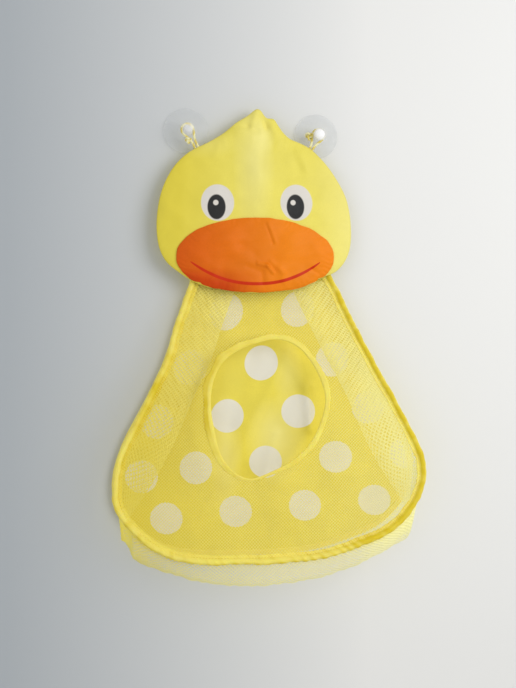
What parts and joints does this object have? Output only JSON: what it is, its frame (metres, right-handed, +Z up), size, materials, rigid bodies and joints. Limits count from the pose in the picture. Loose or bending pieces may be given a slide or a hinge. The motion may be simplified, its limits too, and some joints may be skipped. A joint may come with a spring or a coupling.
{
  "type": "toy storage bag",
  "caption": "Duck-shaped mesh bath toy bag hung from suction cups: padded head, net front held open by a hoop, side-entry mouth, folding net gusset.",
  "frame": {"origin": "on the wall, half way between the middles of the two suction cups", "axes": "+X to the right seen from the room, +Y into the wall, +Z up"},
  "size_m": [0.3085, 0.0558, 0.4709],
  "materials": {
    "clear_vinyl": "clear soft vinyl, smooth",
    "yellow_cord": "braided polyester cord",
    "yellow_cloth": "smooth woven polyester with a soft sheen",
    "orange_cloth": "smooth woven polyester with a satin sheen",
    "gold_binding": "folded bias tape, gathered and stitched",
    "yellow_net": "fine knitted polyester net",
    "pale_net": "fine knitted polyester net, folded",
    "dotted_cloth": "coated woven polyester with a white polka dot print",
    "white_foam": "polyester wadding",
    "spring_steel": "drawn spring steel wire"
  },
  "bodies": {
    "wall_cups": {"left_suction_cup": "clear_vinyl", "right_suction_cup": "clear_vinyl"},
    "head": {"left_hanging_loop": "yellow_cord", "right_hanging_loop": "yellow_cord", "head_front_panel": "yellow_cloth", "head_padding": "white_foam", "head_back_panel": "yellow_cloth", "beak_panel": "orange_cloth"},
    "bag_back": {"back_panel": "dotted_cloth", "back_seam_binding": "gold_binding", "gusset_net": "pale_net", "neck_tape": "gold_binding"},
    "bag_front": {"front_hoop_sleeve": "gold_binding", "front_hoop_wire": "spring_steel", "hoop_wire_ferrule": "spring_steel", "front_net_panel": "yellow_net", "mouth_binding": "gold_binding"}
  },
  "joints": [
    {"name": "hang_swing", "type": "hinge", "parent": "wall_cups", "child": "head", "pos_m": [0, -0.0125, 0.0042], "axis": [-1, 0, 0], "range_deg": [0, 18]},
    {"name": "neck_fold", "type": "hinge", "parent": "head", "child": "bag_back", "pos_m": [0, -0.0123, -0.1347], "axis": [-1, 0, 0], "range_deg": [0, 75], "deforming": ["head_front_panel", "beak_panel"]},
    {"name": "front_open", "type": "hinge", "parent": "bag_back", "child": "bag_front", "pos_m": [0, -0.0123, -0.1347], "axis": [-1, 0, 0], "range_deg": [-5.5, 8.5], "deforming": ["gusset_net"]}
  ]
}
